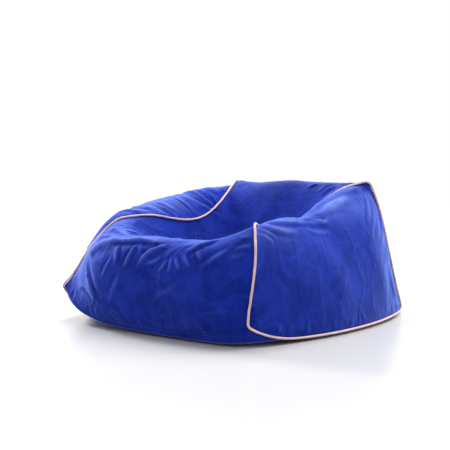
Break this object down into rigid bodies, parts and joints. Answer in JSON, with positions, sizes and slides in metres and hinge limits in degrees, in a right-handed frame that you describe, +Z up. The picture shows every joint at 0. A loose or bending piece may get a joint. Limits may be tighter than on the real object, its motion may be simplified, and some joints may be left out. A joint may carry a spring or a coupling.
{
  "type": "bean bag chair",
  "caption": "Child-size bean bag lounge chair: soft blue suede-like cover with contrast-piped side panels, a moulded-in seat hollow and a raised back, over a zipped liner of beads.",
  "frame": {"origin": "on the floor, on the flat underside of the bag, near the middle of its footprint", "axes": "+Z up; the open front of the seat faces -Y and the back is at +Y; +X is the sitter's left"},
  "size_m": [0.914, 0.9133, 0.4419],
  "materials": {
    "cover_suede": "brushed royal blue microsuede with a short soft nap",
    "piping_cloth": "pale peach-pink woven bias cloth",
    "piping_core": "white cotton filler cord",
    "liner_cloth": "plain white woven liner cloth",
    "beads": "expanded polystyrene beads",
    "zip_tape": "dark blue woven polyester tape",
    "zip_coil": "dark blue nylon coil",
    "zip_metal": "blue enamelled zinc",
    "spring_steel": "bright spring strip"
  },
  "bodies": {
    "bag": {"wrap_panel": "cover_suede", "right_side_panel": "cover_suede", "left_side_panel": "cover_suede", "floor_panel": "cover_suede", "right_piping_sleeve": "piping_cloth", "left_piping_sleeve": "piping_cloth", "right_piping_cord": "piping_core", "left_piping_cord": "piping_core", "liner_wrap": "liner_cloth", "liner_right_side": "liner_cloth", "liner_left_side": "liner_cloth", "liner_floor": "liner_cloth", "bead_fill": "beads", "cover_zip_upper_tape": "zip_tape", "cover_zip_lower_tape": "zip_tape", "cover_zip_upper_coil": "zip_coil", "cover_zip_lower_coil": "zip_coil", "cover_zip_bottom_stop": "zip_metal", "cover_zip_top_stops": "zip_metal", "liner_zip_upper_tape": "zip_tape", "liner_zip_lower_tape": "zip_tape", "liner_zip_upper_coil": "zip_coil", "liner_zip_lower_coil": "zip_coil", "liner_zip_bottom_stop": "zip_metal", "liner_zip_top_stops": "zip_metal"},
    "cover_zip_slider_body": {"cover_zip_slider": "zip_metal", "cover_zip_lock_spring": "spring_steel"},
    "liner_zip_slider_body": {"liner_zip_slider": "zip_metal", "liner_zip_lock_spring": "spring_steel"}
  },
  "joints": [
    {"name": "cover_zip_slide", "type": "slide", "parent": "bag", "child": "cover_zip_slider_body", "axis": [1, 0, 0], "range_m": [0, 0.387]},
    {"name": "liner_zip_slide", "type": "slide", "parent": "bag", "child": "liner_zip_slider_body", "axis": [1, 0, 0], "range_m": [0, 0.387]}
  ]
}
